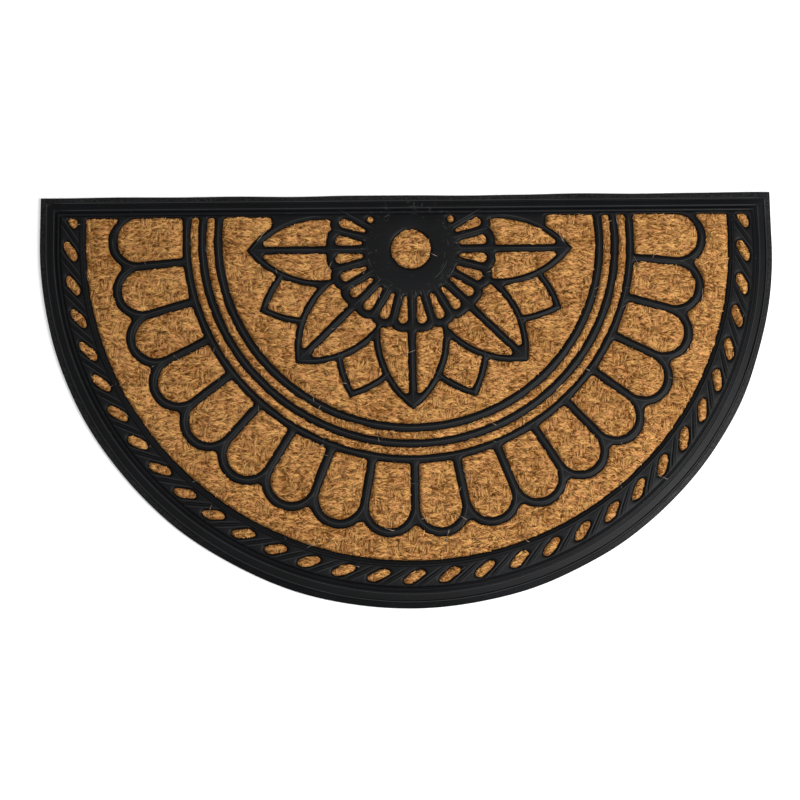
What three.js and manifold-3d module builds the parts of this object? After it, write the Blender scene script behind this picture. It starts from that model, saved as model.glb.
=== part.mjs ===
// Half-round doormat: a coir panel held in one moulding of black rubber.
// The moulding has a plain back, a stepped rim and a pierced top whose openings show the coir:
// a half rosette, two thin arcs, an arcade of round-ended panels and a rope border.
// Millimetres, +Z up. The straight edge lies towards +Y. The pattern is drawn about the middle
// of the round edge, and the finished mat is moved so that its origin is the middle of its underside.
import * as THREE from 'three';
import { mergeVertices } from 'three/addons/utils/BufferGeometryUtils.js';
import Module from 'manifold-3d';

const wasm = await Module();
wasm.setup();

// Overall size
const MAT_WIDTH = 700;
const MAT_DEPTH = 395;
const ROUND_RADIUS = MAT_WIDTH / 2;
const SIDE_LENGTH = MAT_DEPTH - ROUND_RADIUS;

// Layers, from the underside up
const CLEARANCE = 0.3;
const BACK_THICKNESS = 3;
const COIR_THICKNESS = 2;
const GRILLE_UNDERSIDE = BACK_THICKNESS + COIR_THICKNESS + 2 * CLEARANCE;
const GRILLE_TOP = 8;
const RAISED_TOP = 8.8;
const COIR_TOP = 7.6;
const CUT_BELOW = (BACK_THICKNESS + GRILLE_UNDERSIDE) / 2;
const CUT_ABOVE = RAISED_TOP + 1;

// Rim, as distance in from the edge and height above the underside
const RIM_PROFILE = [
  { inset: 0.8, height: 0 },
  { inset: 0, height: 0.8 },
  { inset: 0, height: 3.4 },
  { inset: 1.4, height: 4.5 },
  { inset: 5.2, height: 4.9 },
  { inset: 7.6, height: 3.7 },
  { inset: 9.2, height: 5.9 },
  { inset: 14.0, height: 6.2 },
  { inset: 15.2, height: 5.3 },
  { inset: 16.4, height: 7.7 },
  { inset: 18.2, height: 7.9 },
  { inset: 19.6, height: 6.8 },
  { inset: 21.0, height: GRILLE_TOP },
];
const ROUND_STEPS = 64;
const BAND_STEPS = 40;
const CIRCLE_STEPS = 24;

// Coir window: how far the panel reaches under the rim, and where the openings stop
const PANEL_INSET = 20.5;
const WINDOW_INSET = 22;
const WINDOW_TOP = SIDE_LENGTH - WINDOW_INSET;
const WINDOW_RADIUS = ROUND_RADIUS - WINDOW_INSET;

// Rope border
const ROPE_RADIUS = 320.8;
const ROPE_PITCH = 32.87;
const ROPE_SHIFT = 2.4;
const ROPE_COUNT_EACH_WAY = 16;
const DASH_REACH = 9.85;
const DASH_SKEW = 6.5;
const DASH_HALF_DEPTH = 6.7;
const DASH_POINTS = 10;
const DASH_FULLNESS = 0.85;
const RIDGE_SLOPE = THREE.MathUtils.degToRad(33);
const RIDGE_WIDTH = 2.2;
const RIDGE_HALF_DEPTH = 8;
const BEAD_OUTER_RADIUS = 312.2;
const BEAD_INNER_RADIUS = 309.2;

// Outer field and arcade
const OUTER_FIELD_RADIUS = 306;
const PANEL_COUNT = 18;
const PANEL_PITCH = Math.PI / (PANEL_COUNT - 1);
const PANEL_INNER_RADIUS = 215.2;
const PANEL_END_CENTRE = 257.1;
const PANEL_HALF_RIB = 4.1;
const PANEL_RIB = 8.4;
const PANEL_END_STEPS = 9;
const CUSP_RADIUS = 274;

// Thin arcs and inner field
const THIN_ARCS = [
  { outer: 207.8, inner: 200.6 },
  { outer: 192.8, inner: 185.7 },
];
const INNER_FIELD_RADIUS = 177.8;
const FIELD_END_X = 131;

// Rosette, drawn about its own centre
const ROSETTE_DROP = 9.5;
const DISC_RADIUS = 19;
const RAY_PITCH = THREE.MathUtils.degToRad(15);
const RAY_COUNT = 16;
const RAY = { inner: 46, outer: 73, innerHalf: 2.2, outerHalf: 5.2 };
const RAY_END_STEPS = 4;
const DOT = { radius: 3.4, reach: 48.6, rise: 2.5 * RAY_PITCH, steps: 8 };
const RUFFLE_RADIUS = 77.5;
const RUFFLE_RISE = 3.5;
const RUFFLE_STATIONS = [-1, -0.7, -0.25, 0.25, 0.7];
const PETAL_RIB = 6.4;
const PETAL_MIDRIB_HALF = 3.8;
const LARGE_PETAL = { tip: 155, middle: 84, bulge: 88, foot: 50, steps: 9 };
const SMALL_PETAL = { tip: 154.8, middle: 78.7, bulge: 95, foot: 90, steps: 6 };
const LARGE_PETAL_COUNT = 5;
const PETAL_PITCH = Math.PI / (LARGE_PETAL_COUNT - 1);
const PETAL_BAY_FOOT = 60;
const PETAL_BAY_TIP = 139.5;
const HUB_RADIUS = 90;

const rubberMaterial = new THREE.MeshStandardMaterial({ color: 0x26272a, roughness: 0.72, metalness: 0 });
const coirMaterial = new THREE.MeshStandardMaterial({ color: 0xb98a56, roughness: 0.95, metalness: 0 });

// Points on a circle about (x, y), both end angles included
function arcPoints(x, y, radius, from, to, steps) {
  return Array.from({ length: steps + 1 }, (_, step) => {
    const angle = from + ((to - from) * step) / steps;
    return new THREE.Vector2(x + radius * Math.cos(angle), y + radius * Math.sin(angle));
  });
}

function moved(points, angle, x, y) {
  const centre = new THREE.Vector2();
  const shift = new THREE.Vector2(x, y);
  return points.map((point) => point.clone().rotateAround(centre, angle).add(shift));
}

// Half circle below y = 0 with straight sides up to y = top
function halfRound(radius, top) {
  const points = arcPoints(0, 0, radius, Math.PI, 2 * Math.PI, ROUND_STEPS);
  points.push(new THREE.Vector2(radius, top), new THREE.Vector2(-radius, top));
  return points;
}

function solidOf(geometry) {
  geometry.deleteAttribute('normal');
  geometry.deleteAttribute('uv');
  const merged = mergeVertices(geometry, 1e-4);
  const vertProperties = Float32Array.from(merged.attributes.position.array);
  const triVerts = Uint32Array.from(merged.index.array);
  return new wasm.Manifold(new wasm.Mesh({ numProp: 3, vertProperties, triVerts }));
}

function prism(points, low = CUT_BELOW, high = CUT_ABOVE) {
  const shape = new THREE.Shape(points);
  const geometry = new THREE.ExtrudeGeometry(shape, { depth: high - low, bevelEnabled: false });
  return solidOf(geometry.translate(0, 0, low));
}

function disc(x, y, radius, steps = CIRCLE_STEPS) {
  return prism(arcPoints(x, y, radius, 0, 2 * Math.PI, steps).slice(1));
}

function joined(solids) {
  return solids.reduce((whole, solid) => whole.add(solid));
}

// Closed body through equal rings of points, each at its own height
function lofted(rings) {
  const count = rings[0].points.length;
  const positions = rings.flatMap(({ points, height }) => points.flatMap(({ x, y }) => [x, y, height]));
  const indices = [];
  for (let ring = 0; ring < rings.length - 1; ring += 1) {
    for (let point = 0; point < count; point += 1) {
      const next = (point + 1) % count;
      const low = ring * count;
      const high = low + count;
      indices.push(low + point, low + next, high + next, low + point, high + next, high + point);
    }
  }
  const lastRing = (rings.length - 1) * count;
  for (const [a, b, c] of THREE.ShapeUtils.triangulateShape(rings[0].points, [])) {
    indices.push(c, b, a);
  }
  for (const [a, b, c] of THREE.ShapeUtils.triangulateShape(rings[rings.length - 1].points, [])) {
    indices.push(lastRing + a, lastRing + b, lastRing + c);
  }
  const geometry = new THREE.BufferGeometry();
  geometry.setAttribute('position', new THREE.Float32BufferAttribute(positions, 3));
  geometry.setIndex(indices);
  return solidOf(geometry);
}

// Band between two radii that runs on round until it meets the top of the coir window
function arcBand(outer, inner, top) {
  const rise = (radius) => Math.asin(top / radius);
  const low = (radius) => Math.PI - rise(radius);
  const high = (radius) => 2 * Math.PI + rise(radius);
  return [
    ...arcPoints(0, 0, outer, low(outer), high(outer), BAND_STEPS),
    ...arcPoints(0, 0, inner, high(inner), low(inner), BAND_STEPS),
  ];
}

// Band between two radii with straight sides up to the top of the coir window
function uBand(outer, inner) {
  const outerSide = arcPoints(0, 0, outer, Math.PI, 2 * Math.PI, ROUND_STEPS);
  const innerSide = arcPoints(0, 0, inner, 2 * Math.PI, Math.PI, ROUND_STEPS);
  const ends = [outer, inner].map((x) => new THREE.Vector2(x, WINDOW_TOP));
  const otherEnds = [-inner, -outer].map((x) => new THREE.Vector2(x, WINDOW_TOP));
  return [...outerSide, ...ends, ...innerSide, ...otherEnds];
}

// Place on the rope border, at a distance along it from the middle of the round edge
function ropePlace(distance) {
  const quarter = (ROPE_RADIUS * Math.PI) / 2;
  const along = THREE.MathUtils.clamp(distance, -quarter, quarter);
  const turn = Math.PI / 2 + along / ROPE_RADIUS;
  const straight = Math.abs(distance) - Math.abs(along);
  const x = ROPE_RADIUS * Math.cos(turn);
  const y = -ROPE_RADIUS * Math.sin(turn) + straight;
  return { angle: Math.PI / 2 - turn + Math.PI, x, y };
}

function onRope(points, distance) {
  const { angle, x, y } = ropePlace(distance);
  return moved(points, angle, x, y);
}

function dashOutline(gap) {
  return Array.from({ length: DASH_POINTS }, (_, index) => {
    const angle = ((index + 0.5) * 2 * Math.PI) / DASH_POINTS;
    const squared = (value) => Math.sign(value) * Math.abs(value) ** DASH_FULLNESS;
    const across = squared(Math.cos(angle)) * (DASH_REACH - gap);
    const depth = squared(Math.sin(angle));
    return new THREE.Vector2(across + depth * DASH_SKEW, depth * (DASH_HALF_DEPTH - gap));
  });
}

function dashes(gap) {
  const solids = [];
  for (let index = -ROPE_COUNT_EACH_WAY; index <= ROPE_COUNT_EACH_WAY; index += 1) {
    solids.push(prism(onRope(dashOutline(gap), ROPE_SHIFT + index * ROPE_PITCH)));
  }
  return joined(solids).intersect(prism(halfRound(WINDOW_RADIUS, WINDOW_TOP - gap)));
}

function ropeRidges() {
  const lean = RIDGE_HALF_DEPTH / Math.tan(RIDGE_SLOPE);
  const half = RIDGE_WIDTH / 2 / Math.sin(RIDGE_SLOPE);
  const outline = [
    new THREE.Vector2(-lean - half, -RIDGE_HALF_DEPTH),
    new THREE.Vector2(-lean + half, -RIDGE_HALF_DEPTH),
    new THREE.Vector2(lean + half, RIDGE_HALF_DEPTH),
    new THREE.Vector2(lean - half, RIDGE_HALF_DEPTH),
  ];
  const solids = [];
  for (let index = -ROPE_COUNT_EACH_WAY; index < ROPE_COUNT_EACH_WAY; index += 1) {
    const points = onRope(outline, ROPE_SHIFT + (index + 0.5) * ROPE_PITCH);
    solids.push(prism(points, GRILLE_UNDERSIDE + 1, RAISED_TOP));
  }
  return joined(solids).intersect(prism(halfRound(ROUND_RADIUS - RIM_PROFILE.at(-1).inset, WINDOW_TOP)));
}

// The side of a panel, in its own frame, that faces the straight border: 0 where neither does
function borderSide(index) {
  if (index === 0) return -1;
  return index === PANEL_COUNT - 1 ? 1 : 0;
}

// Arcade panel: parallel to the ribs at its sides, round at its outer end.
// The first and the last one have no rib above them and reach up to the straight border.
function arcadePanel(index, gap) {
  const halfPitch = PANEL_PITCH / 2;
  const side = PANEL_HALF_RIB + gap;
  const endRadius = PANEL_END_CENTRE * Math.sin(halfPitch) - side;
  const inner = PANEL_INNER_RADIUS + gap;
  const innerHalf = inner * Math.tan(halfPitch) - side / Math.cos(halfPitch);
  const roundEnd = Math.PI / 2 + halfPitch;
  const points = arcPoints(PANEL_END_CENTRE, 0, endRadius, -roundEnd, roundEnd, PANEL_END_STEPS);
  points.push(new THREE.Vector2(inner, innerHalf), new THREE.Vector2(inner, -innerHalf));
  const borderEdge = WINDOW_TOP - gap;
  for (const point of points.filter(({ y }) => borderSide(index) * y > 0)) {
    point.y *= borderEdge / (point.x === inner ? innerHalf : endRadius);
  }
  return prism(moved(points, Math.PI + index * PANEL_PITCH, 0, 0));
}

// Everything inside the arcade's ribs, scalloped round the panels' outer ends
function arcadeBody(gap) {
  const endRadius = PANEL_END_CENTRE * Math.sin(PANEL_PITCH / 2) - PANEL_HALF_RIB + PANEL_RIB + gap;
  const ends = Array.from({ length: PANEL_COUNT }, (_, index) => {
    const angle = Math.PI + index * PANEL_PITCH;
    const x = PANEL_END_CENTRE * Math.cos(angle);
    const y = PANEL_END_CENTRE * Math.sin(angle);
    return disc(x, y, endRadius);
  });
  const cusps = prism(arcPoints(0, 0, CUSP_RADIUS + gap, Math.PI, 2 * Math.PI, ROUND_STEPS));
  const middle = prism(halfRound(PANEL_END_CENTRE, SIDE_LENGTH));
  return joined([middle, cusps, ...ends]);
}

function outerField(gap) {
  return prism(halfRound(OUTER_FIELD_RADIUS - gap, WINDOW_TOP - gap)).subtract(arcadeBody(gap));
}

// Petal pointing along +X from the rosette's centre, its two sides arcs of one radius
function petalOutline({ tip, middle, bulge, foot, steps }, inset, cut = Infinity) {
  const offset = Math.sqrt(bulge ** 2 - (tip - middle) ** 2);
  const radius = bulge - inset;
  const end = Math.min(cut, middle + Math.sqrt(radius ** 2 - offset ** 2));
  const from = Math.acos((end - middle) / radius);
  const to = Math.acos((foot - middle) / radius);
  const upper = arcPoints(middle, -offset, radius, from, to, steps);
  const lower = upper.map((point) => new THREE.Vector2(point.x, -point.y)).reverse();
  return cut === Infinity ? [...upper, ...lower.slice(0, -1)] : [...upper, ...lower];
}

function onRosette(points, angle) {
  return moved(points, angle, 0, -ROSETTE_DROP);
}

function largePetals(inset) {
  return joined(Array.from({ length: LARGE_PETAL_COUNT }, (_, index) =>
    prism(onRosette(petalOutline(LARGE_PETAL, inset), Math.PI + index * PETAL_PITCH))));
}

function smallPetals(inset) {
  return joined(Array.from({ length: LARGE_PETAL_COUNT - 1 }, (_, index) =>
    prism(onRosette(petalOutline(SMALL_PETAL, inset), Math.PI + (index + 0.5) * PETAL_PITCH))));
}

function box(left, right, bottom, top) {
  return prism([[left, bottom], [right, bottom], [right, top], [left, top]]
    .map(([x, y]) => new THREE.Vector2(x, y)));
}

function innerField(gap) {
  const endX = FIELD_END_X + gap;
  return prism(arcBand(INNER_FIELD_RADIUS - gap, HUB_RADIUS + gap, WINDOW_TOP - gap))
    .subtract(largePetals(-gap))
    .subtract(smallPetals(-gap))
    .subtract(box(-endX, endX, -ROSETTE_DROP, SIDE_LENGTH));
}

// Outline of the ring round the rays, raised in front of each ray's end
function ruffle(gap) {
  const sectors = Math.round((2 * Math.PI) / RAY_PITCH);
  const points = [];
  for (let sector = 0; sector < sectors; sector += 1) {
    for (const part of RUFFLE_STATIONS) {
      const radius = RUFFLE_RADIUS + gap + RUFFLE_RISE * Math.sqrt(1 - part ** 2);
      const angle = (sector + (1 + part) / 2) * RAY_PITCH;
      points.push(new THREE.Vector2(radius * Math.cos(angle), radius * Math.sin(angle)));
    }
  }
  return prism(onRosette(points, 0));
}

function petalBays(gap) {
  const bayShape = { ...LARGE_PETAL, foot: PETAL_BAY_FOOT };
  const half = PETAL_MIDRIB_HALF + gap;
  const midrib = [[0, -half], [LARGE_PETAL.tip, -half], [LARGE_PETAL.tip, half], [0, half]]
    .map(([x, y]) => new THREE.Vector2(x, y));
  const bays = Array.from({ length: LARGE_PETAL_COUNT }, (_, index) => {
    const angle = Math.PI + index * PETAL_PITCH;
    const outline = petalOutline(bayShape, PETAL_RIB + gap, PETAL_BAY_TIP - gap);
    return prism(onRosette(outline, angle)).subtract(prism(onRosette(midrib, angle)));
  });
  return joined(bays).subtract(ruffle(gap));
}

function rayOutline(gap) {
  const innerHalf = RAY.innerHalf - gap;
  const outerHalf = RAY.outerHalf - gap;
  const quarter = Math.PI / 2;
  return [
    ...arcPoints(RAY.outer - RAY.outerHalf, 0, outerHalf, -quarter, quarter, RAY_END_STEPS),
    ...arcPoints(RAY.inner + RAY.innerHalf, 0, innerHalf, quarter, 3 * quarter, RAY_END_STEPS),
  ];
}

function rosetteCentre(gap) {
  const rays = Array.from({ length: RAY_COUNT }, (_, index) =>
    prism(onRosette(rayOutline(gap), Math.PI + (index - 1.5) * RAY_PITCH)));
  const dots = [Math.PI - DOT.rise, DOT.rise].map((angle) => {
    const x = DOT.reach * Math.cos(angle);
    const y = DOT.reach * Math.sin(angle) - ROSETTE_DROP;
    return disc(x, y, DOT.radius - gap, DOT.steps);
  });
  return joined([disc(0, -ROSETTE_DROP, DISC_RADIUS - gap), ...rays, ...dots]);
}

// All the openings in the rubber top, each drawn smaller all round by the gap
function openings(gap) {
  const panels = Array.from({ length: PANEL_COUNT }, (_, index) => arcadePanel(index, gap));
  const arcs = THIN_ARCS.map(({ outer, inner }) =>
    prism(arcBand(outer - gap, inner + gap, WINDOW_TOP - gap)));
  const smallBays = smallPetals(PETAL_RIB + gap).subtract(largePetals(-gap));
  return joined([
    dashes(gap), outerField(gap), ...panels, ...arcs,
    innerField(gap), petalBays(gap), smallBays, rosetteCentre(gap),
  ]);
}

function slab(inset, low, high) {
  return prism(halfRound(ROUND_RADIUS - inset, SIDE_LENGTH - inset), low, high);
}

function rubberMoulding() {
  const rings = RIM_PROFILE.map(({ inset, height }) => (
    { points: halfRound(ROUND_RADIUS - inset, SIDE_LENGTH - inset), height }));
  const bead = prism(uBand(BEAD_OUTER_RADIUS, BEAD_INNER_RADIUS), GRILLE_UNDERSIDE + 1, RAISED_TOP);
  return lofted(rings)
    .add(bead)
    .add(ropeRidges())
    .subtract(slab(PANEL_INSET, BACK_THICKNESS, GRILLE_UNDERSIDE))
    .subtract(openings(0));
}

function coirPanel() {
  const low = BACK_THICKNESS + CLEARANCE;
  const sheet = slab(PANEL_INSET + CLEARANCE, low, low + COIR_THICKNESS);
  const reach = slab(0, low, COIR_TOP);
  return openings(CLEARANCE).intersect(reach).add(sheet);
}

function meshOf(solid, name, material) {
  const { vertProperties, triVerts } = solid.getMesh();
  const geometry = new THREE.BufferGeometry();
  geometry.setAttribute('position', new THREE.Float32BufferAttribute(vertProperties, 3));
  geometry.setIndex(Array.from(triVerts));
  geometry.computeVertexNormals();
  const mesh = new THREE.Mesh(geometry, material);
  mesh.name = name;
  return mesh;
}

const mat = new THREE.Group();
mat.position.y = ROUND_RADIUS - MAT_DEPTH / 2;
mat.add(meshOf(rubberMoulding(), 'rubber_moulding', rubberMaterial));
mat.add(meshOf(coirPanel(), 'coir_panel', coirMaterial));

export default mat;
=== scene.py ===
"""Half-round doormat of black rubber and coir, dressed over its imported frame.

The rubber is one moulding with a stepped rim and a pierced top. The coir panel lies inside it and
stands up in the openings, and loose strands cover what shows of it. The pattern is worked out in
millimetres about the centre of the round edge, with nearly the same sizes as the part's source.
"""
import itertools
import math
from functools import lru_cache

import bpy
import numpy as np
from bpy.props import FloatProperty, FloatVectorProperty, IntProperty, PointerProperty
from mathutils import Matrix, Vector, geometry, kdtree


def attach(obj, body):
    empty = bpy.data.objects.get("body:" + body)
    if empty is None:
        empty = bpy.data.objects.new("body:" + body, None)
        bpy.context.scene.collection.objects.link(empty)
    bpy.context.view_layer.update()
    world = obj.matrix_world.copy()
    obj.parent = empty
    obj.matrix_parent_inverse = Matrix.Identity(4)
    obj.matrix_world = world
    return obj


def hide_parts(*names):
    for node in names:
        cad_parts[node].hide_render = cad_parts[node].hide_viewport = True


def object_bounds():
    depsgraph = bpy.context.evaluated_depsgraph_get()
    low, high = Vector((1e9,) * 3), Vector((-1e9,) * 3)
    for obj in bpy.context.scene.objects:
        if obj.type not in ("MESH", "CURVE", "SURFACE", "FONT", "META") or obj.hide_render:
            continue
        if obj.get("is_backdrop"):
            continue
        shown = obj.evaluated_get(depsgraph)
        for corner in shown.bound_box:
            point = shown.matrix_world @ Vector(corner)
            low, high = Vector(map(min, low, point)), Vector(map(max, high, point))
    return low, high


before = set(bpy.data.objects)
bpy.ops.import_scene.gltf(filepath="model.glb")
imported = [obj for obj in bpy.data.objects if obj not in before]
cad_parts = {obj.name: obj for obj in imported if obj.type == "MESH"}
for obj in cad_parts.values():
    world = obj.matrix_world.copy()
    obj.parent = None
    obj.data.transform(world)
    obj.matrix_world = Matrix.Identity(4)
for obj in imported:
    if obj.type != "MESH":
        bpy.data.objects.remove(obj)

CAD_BOX = [list(corner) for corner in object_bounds()]

bl_info = {
    "name": "Half-round doormat",
    "version": (1, 0, 0),
    "blender": (4, 5, 0),
    "location": "3D View > Sidebar > Doormat",
    "description": "Makes a half-round doormat of moulded rubber and coir",
    "category": "Mesh",
}

# Overall size
MAT_WIDTH = 700
MAT_DEPTH = 395
ROUND_RADIUS = MAT_WIDTH / 2
SIDE_LENGTH = MAT_DEPTH - ROUND_RADIUS
PATTERN_SHIFT = ROUND_RADIUS - MAT_DEPTH / 2
METRE = 1000

# Layers, as heights above the underside
BACK_THICKNESS = 3
SHEET_UNDERSIDE = 3.3
SHEET_TOP = 5.3
GRILLE_UNDERSIDE = 5.6

# Rim, as distance in from the edge and height above the underside
RIM_PROFILE = [
    (0.8, 0), (0, 0.8), (0, 2.7), (4.8, 4.5), (5.8, 5.4), (6.6, 5.4), (7.3, 4.5), (8.2, 4.7),
    (13.0, 5.9), (13.8, 5.2), (14.6, 5.3), (16.9, 6.5), (17.6, 6.5), (18.8, 5.9), (19.8, 7.4), (21.0, 7.9),
]
UNEVEN_WIDTH = 14
PANEL_INSET = 20.5
SHEET_INSET = 20.8
WINDOW_INSET = 22
WINDOW_TOP = SIDE_LENGTH - WINDOW_INSET

# Top of the grille: round at the edge of an opening, then like a low roof
CROWN_FOOT = 6.3
CROWN_RISE = 1.65
CROWN_ROUNDING = 1.15
CROWN_SLOPE = 0.05
CROWN_REACH = 4
CROWN_RINGS = (0.45, 1.0, 1.8, 2.8, 3.5)
CROWN_CLEARANCE = 0.7
SHORTEST_CHAIN = 4
CORNER_RADIUS = 1.6

# Rope border
ROPE_RADIUS = 320.8
ROPE_PITCH = 32.87
ROPE_SHIFT = 2.4
ROPE_COUNT_EACH_WAY = 16
DASH_SLOPE = math.radians(33)
DASH_HALF_THICKNESS = 4.3
DASH_HALF_DEPTH = 7.3
DASH_HALF_LENGTH = 11.9
DASH_SQUARENESS = 3.7
DASH_STEPS = 48
DASH_WOBBLE = 0.05
DASH_SEED = 21
STRAND_SLOPE = math.radians(33)
STRAND_HALF_DEPTH = 8
BEAD_RADIUS = 310.7

# Outer field and arcade
OUTER_FIELD_RADIUS = 306
PANEL_COUNT = 18
PANEL_PITCH = math.pi / (PANEL_COUNT - 1)
PANEL_INNER_RADIUS = 215.2
PANEL_END_CENTRE = 257.1
PANEL_HALF_RIB = 4.1
PANEL_RIB = 8.4
PANEL_END_RADIUS = PANEL_END_CENTRE * math.sin(PANEL_PITCH / 2) - PANEL_HALF_RIB
CUSP_RADIUS = 274

# Thin arcs and inner field
THIN_ARCS = [(207.8, 200.6), (192.8, 185.7)]
INNER_FIELD_RADIUS = 177.8
FIELD_END_X = 131

# Rosette, drawn about its own centre
ROSETTE_DROP = 9.5
ROSETTE_SHIFT = 1.2
PETAL_SHIFT = 0.1
HUB_PLACE = (ROSETTE_SHIFT, -ROSETTE_DROP)
PETAL_PLACE = (PETAL_SHIFT, -ROSETTE_DROP)
DISC_RADIUS = 19
RAY_PITCH = math.radians(15)
RAY_COUNT = 16
RAY_INNER = 46
RAY_OUTER = 73
RAY_INNER_HALF = 1.9
RAY_OUTER_HALF = 4.75
DOT_RADIUS = 3.4
DOT_REACH = 48.6
DOT_RISE = 2.5 * RAY_PITCH
RUFFLE_RADIUS = 77.5
RUFFLE_RISE = 3.5
PETAL_RIB = 6.4
PETAL_MIDRIB_HALF = 3.8
LARGE_PETAL = {"tip": 155, "middle": 84, "bulge": 88, "foot": 50, "crest_foot": 84}
SMALL_PETAL = {"tip": 154.8, "middle": 78.7, "bulge": 95, "foot": 90, "crest_foot": 118}
LARGE_PETAL_COUNT = 5
PETAL_PITCH = math.pi / (LARGE_PETAL_COUNT - 1)
PETAL_BAY_FOOT = 60
PETAL_BAY_TIP = 139.5
HUB_RADIUS = 90

# Raised lines
CREST_HEIGHT = 8.1
ROPE_LINE_HEIGHT = 8.05
ROPE_LINE_SHIFTS = (-4.6, 4.6)
ROPE_LINE_HALF_DEPTH = STRAND_HALF_DEPTH + 1
RIM_LINES = ((6.2, 5.35), (13.2, 5.85))
ARC_CRESTS = (211.5, 196.7, 181.75)
PANEL_CREST = (212.5, 235, 255, 267)
SCALLOP_TURN = math.radians(96)
END_SCALLOP_TURN = math.radians(8)
MIDRIB_CREST = np.linspace(82, 148, 10)
RAY_CREST = np.linspace(40, 78, 8)
HUB_ARC = (36, math.radians(306), math.radians(342))

# Unevenness: each layer of noise has a height, the size of its bumps and a seed
FIELD_NOISE = ((0.16, 7, 11), (0.1, 3, 12))
EDGE_NOISE = ((0.3, 3.5, 38), (0.15, 11, 39))
WEAVE_NOISE = ((2.4, 16, 31), (2.4, 16, 32), (0.22, 20, 34))
STRAND_NOISE = (0.2, 9, 36)
COIR_NOISE = (0.25, 4, 35)
OUTLINE_NOISE = (0.8, 55, 51)
NOISE_CELLS = 256
NOISE_SHIFT = 1000

# Weave of the coir, in cells that hold upright or level bundles of strands
CELL_WIDTH = 13.5
CELL_HEIGHT = 12.5
CELL_COLUMNS = range(-26, 27)
CELL_ROWS = range(-28, 4)
WEAVE_SEED = 33
UPRIGHT_SKIPPED = 0.45
UPRIGHT_BUNDLE = {"count": 4, "turn": math.pi / 2, "twist": 0.14, "longer": 1}
LEVEL_BUNDLE = {"count": 3, "turn": 0, "twist": 0.3, "longer": 6}

# Strands: places, heights and shades
BUNDLE_FULLNESS = 0.47
DEEP_SPREAD = 1.8
TURN_SPREAD = 0.16
TWIST_SHARES = (0.6, 1.4)
STRAND_LENGTHS = (0.32, 0.7)
STRAND_STATIONS = 13
SHORTEST_STRAND = 1.2
RAGGED_EDGE = (-1.2, 0.35)
DEEP_HEIGHT = 6.9
BUNDLE_HEIGHT = 7.0
BUNDLE_RISE = 0.5
EDGE_FADE = 0.8
EDGE_DROP = 0.35
MEAN_SHADE = 0.6
BUNDLE_SHADE = 0.14
OWN_SHADE = 0.2
# Painted shade: strands are darker at the sides of a bundle and near an opening's edge. Some strands are dark
# at random. The deep filling strands are dark more often, as painted shade under the bundles.
SIDE_SHADE = 0.38
EDGE_SHADE = 0.1
DARK_SHADE = 0.45
DARK_CHANCES = (0.2, 0.05)
TILT_SPREAD = 0.05

# Fibres strewn over the mat
STREWN_AREA = ((-320, -320), (320, 24))
STRAY_COUNT = 90
STRAY_HEIGHT = 8.5
STRAY_BAND = (-1.5, 1.2)
STRAY_LENGTHS = (5, 14)
STRAY_SHADES = (0.1, 0.7)
LONG_COUNT = 2600
LONG_HEIGHT = 7.55
LONG_MARGIN = 2
LONG_TURN_SPREAD = 0.7
LONG_UPRIGHT_CHANCE = 0.35
LONG_LENGTHS = (6, 13)
LONG_SHADES = (0.3, 1.1)

# Surface of the coir
LIP_GAP = 0.3
LIP_HEIGHT = 6.6
SURFACE_HEIGHT = 6.8
SURFACE_REACH = 330
SURFACE_TOP = 26
SURFACE_MARGIN = 0.9
SURFACE_SEED = 41

# Fineness of the outlines
ARC_STEPS = 260
SIDE_STEPS = 12
EDGE_STEPS = 120
GRID_REACH = 336
GRID_TOP = 33
GRID_STEP = 0.75
LOOP_STEP = 0.3
FAR = 60.0
STAMP_MARGIN = 6
GRID_X = np.arange(-GRID_REACH, GRID_REACH + 0.5, GRID_STEP)
GRID_Y = np.arange(-GRID_REACH, GRID_TOP, GRID_STEP)

# Painted sheen on the rim's outer slope, and scuffs and marks on the rubber, with the places where they begin
# and end in metres
SLOPE_RADII = (0.3448, 0.3458)
SLOPE_HEIGHTS = (0.0398, 0.0408)
SHEEN_FLOOR = (-0.31, -0.25)
SPOKE_START = (0.036, 0.042)
CIRCLE_START = (0.030, 0.034)
SCUFF_END = (0.046, 0.056)
SCUFF_SCALES = ((38, 120, 0.0), (3, 1300, 4.0))
MARK_AND_SHEEN_COLOUR = (0.10, 0.098, 0.095, 1)
SPECK_SHARE = 0.2
SCUFF_SHARE = 0.7
STREAK_SHARE = 0.03
SHEEN_SHARE = 0.24

# Tones of the coir
SHADE_SPREAD = 0.8
FIBRE_TONE = 0.4
PATCH_TONE = 0.5
# Painted shade: how much the fine dark specks darken the coir
PIT_SHADE_TONE = 0.45
TONE_DROP = 0.22
RUDDY_SHARES = (0.96, 0.86, 0.98)
# Painted shade: the ground under the strands is drawn darker than the strands.
GROUND_DARK = (0.3, 0.125, 0.028)
SHADED_GROUND_SHARE = 0.8
PALE_DARK = (0.2, 0.15, 0.1)
PALE_LIGHT = (0.5, 0.42, 0.32)

# Shape of one strand
STRAND_BENDS = (1.0, 0.2, -0.8)
STRAND_GIRTHS = (0.6, 1.35)
STRAND_ROLL = 0.4
MEAN_BOW = 0.67
ARCH_BASE = 0.8

# Stage, in metres and degrees
CAMERA_PLACE = (-0.0874, -0.3005, 1.6593)
CAMERA_TURN = (10.253, -2.385, -1.214)
CLIP_END = 200
FLOOR_REACH = 60
FLOOR_HEIGHT = -0.0003
FLOOR_GLOW = 0.25
WHITE = (1, 1, 1, 1)
LIGHT_PLACE = (0.91, -0.36, 1.12)
LIGHT_SIZE = 0.8
SKY_RISE = (0.55, 0.97)
SKY_LOW = 0.1
SKY_GAIN = 0.95


def between(grid, row, column, next_row, next_column, u, v):
    """Values of a grid between its corners, at shares u across and v up."""
    low = grid[row, column] * (1 - u) + grid[row, next_column] * u
    high = grid[next_row, column] * (1 - u) + grid[next_row, next_column] * u
    return low * (1 - v) + high * v


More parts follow.
